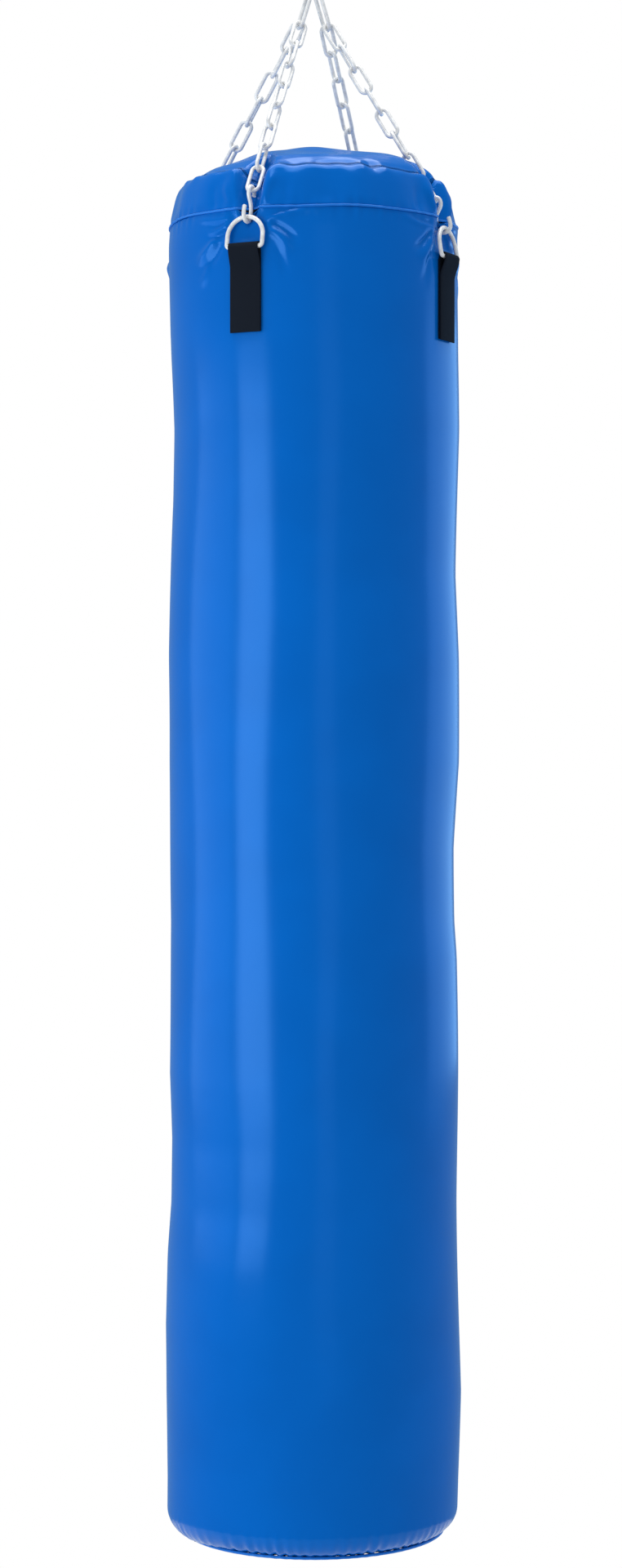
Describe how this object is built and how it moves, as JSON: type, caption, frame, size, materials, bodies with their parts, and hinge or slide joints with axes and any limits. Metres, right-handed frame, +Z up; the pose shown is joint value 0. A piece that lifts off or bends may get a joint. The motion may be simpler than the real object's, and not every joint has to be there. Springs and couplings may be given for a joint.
{
  "type": "heavy punching bag",
  "caption": "Tall cylindrical heavy punching bag in coated fabric, hung by chain legs from a gather ring under a ball-bearing swivel.",
  "frame": {"origin": "centre of the hole in the hanging eye of the swivel", "axes": "+Z up along the bag's axis, +Y along the hanging eye's hole towards the rear of the bag, +X to the right hand pair of chain legs"},
  "size_m": [0.3764, 0.3764, 2.145],
  "materials": {
    "galvanised_steel": "satin galvanised",
    "bearing_steel": "ground",
    "webbing": "woven",
    "blue_vinyl": "soft gloss coated fabric",
    "foam": "closed-cell foam",
    "textile_fill": "packed textile shreds",
    "zip_tape": "woven",
    "zip_coil": "nylon",
    "zip_metal": "nickel"
  },
  "bodies": {
    "swivel_body": {"swivel_cage": "galvanised_steel", "swivel_lower_race": "bearing_steel"},
    "swivel_bolt": {"swivel_eye_bolt": "galvanised_steel", "swivel_nut": "bearing_steel", "swivel_upper_race": "bearing_steel", "swivel_bearing_balls": "bearing_steel"},
    "ring": {"gather_ring": "galvanised_steel"},
    "bag": {"top_link_left": "galvanised_steel", "top_link_right": "galvanised_steel", "chain_leg_front_left": "galvanised_steel", "chain_leg_front_right": "galvanised_steel", "chain_leg_rear_left": "galvanised_steel", "chain_leg_rear_right": "galvanised_steel", "s_hook_front_left": "galvanised_steel", "s_hook_front_right": "galvanised_steel", "s_hook_rear_left": "galvanised_steel", "s_hook_rear_right": "galvanised_steel", "d_ring_front_left": "galvanised_steel", "d_ring_front_right": "galvanised_steel", "d_ring_rear_left": "galvanised_steel", "d_ring_rear_right": "galvanised_steel", "strap_front_left": "webbing", "strap_front_right": "webbing", "strap_rear_left": "webbing", "strap_rear_right": "webbing", "cover_wall": "blue_vinyl", "bottom_panel": "blue_vinyl", "top_collar": "blue_vinyl", "crown_panel": "blue_vinyl", "collar_piping": "blue_vinyl", "bottom_piping": "blue_vinyl", "foam_liner": "foam", "filling": "textile_fill", "zip_tape_front": "zip_tape", "zip_tape_rear": "zip_tape", "zip_teeth": "zip_coil"},
    "slider": {"zip_slider": "zip_metal"},
    "pull": {"zip_pull": "zip_metal"}
  },
  "joints": [
    {"name": "twist", "type": "hinge", "parent": "swivel_body", "child": "swivel_bolt", "pos_m": [0, 0, -0.066], "axis": [0, 0, 1], "continuous": true},
    {"name": "swing_side", "type": "hinge", "parent": "swivel_bolt", "child": "ring", "pos_m": [0, 0, -0.111], "axis": [0, 1, 0], "range_deg": [-35, 35]},
    {"name": "swing_front", "type": "hinge", "parent": "ring", "child": "bag", "pos_m": [0, 0, -0.1479], "axis": [1, 0, 0], "range_deg": [-35, 35]},
    {"name": "zip_run", "type": "hinge", "parent": "bag", "child": "slider", "pos_m": [0, 0.034, -0.6462], "axis": [0, 1, 0], "range_deg": [-28, 0]},
    {"name": "pull_turn", "type": "hinge", "parent": "slider", "child": "pull", "pos_m": [0.07478, 0.03444, -0.35124], "axis": [-0.0274, 0.9936, -0.11], "range_deg": [0, 150]}
  ]
}
